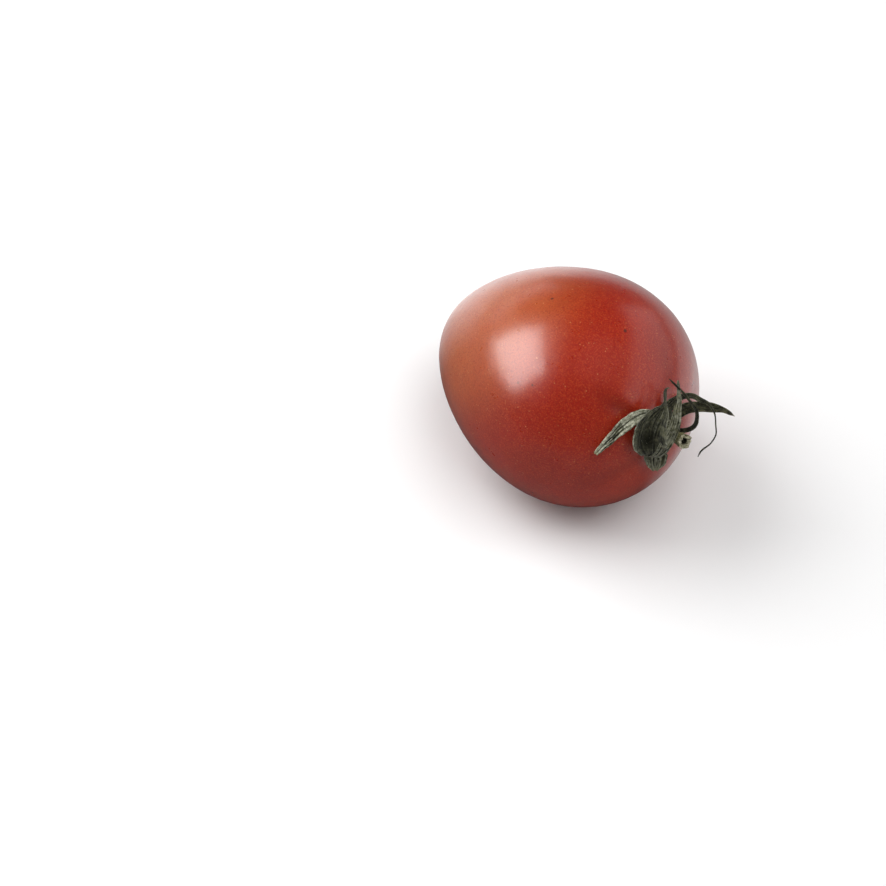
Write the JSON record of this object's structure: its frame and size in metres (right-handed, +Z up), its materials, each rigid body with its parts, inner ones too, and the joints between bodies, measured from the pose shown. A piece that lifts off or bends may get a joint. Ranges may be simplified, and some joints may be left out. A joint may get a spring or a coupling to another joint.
{
  "type": "tomato",
  "caption": "Whole ripe plum tomato lying on its side, with a dried curled calyx and a stub of stalk at the stem end.",
  "frame": {"origin": "middle of the small flat spot the fruit rests on", "axes": "+Z up, +X level towards the stem end; the fruit's own axis lies in the XZ plane and rises 15 degrees towards the stem end"},
  "size_m": [0.079, 0.0573, 0.0573],
  "materials": {
    "tomato_skin": "smooth waxy skin with a soft gloss and fine golden specks",
    "dried_sepal": "dry ribbed leaf with fine pale hairs",
    "stalk": "matt ridged stem with a torn pale end"
  },
  "bodies": {
    "root": {"fruit": "tomato_skin", "calyx": "dried_sepal", "stalk": "stalk"}
  },
  "joints": []
}
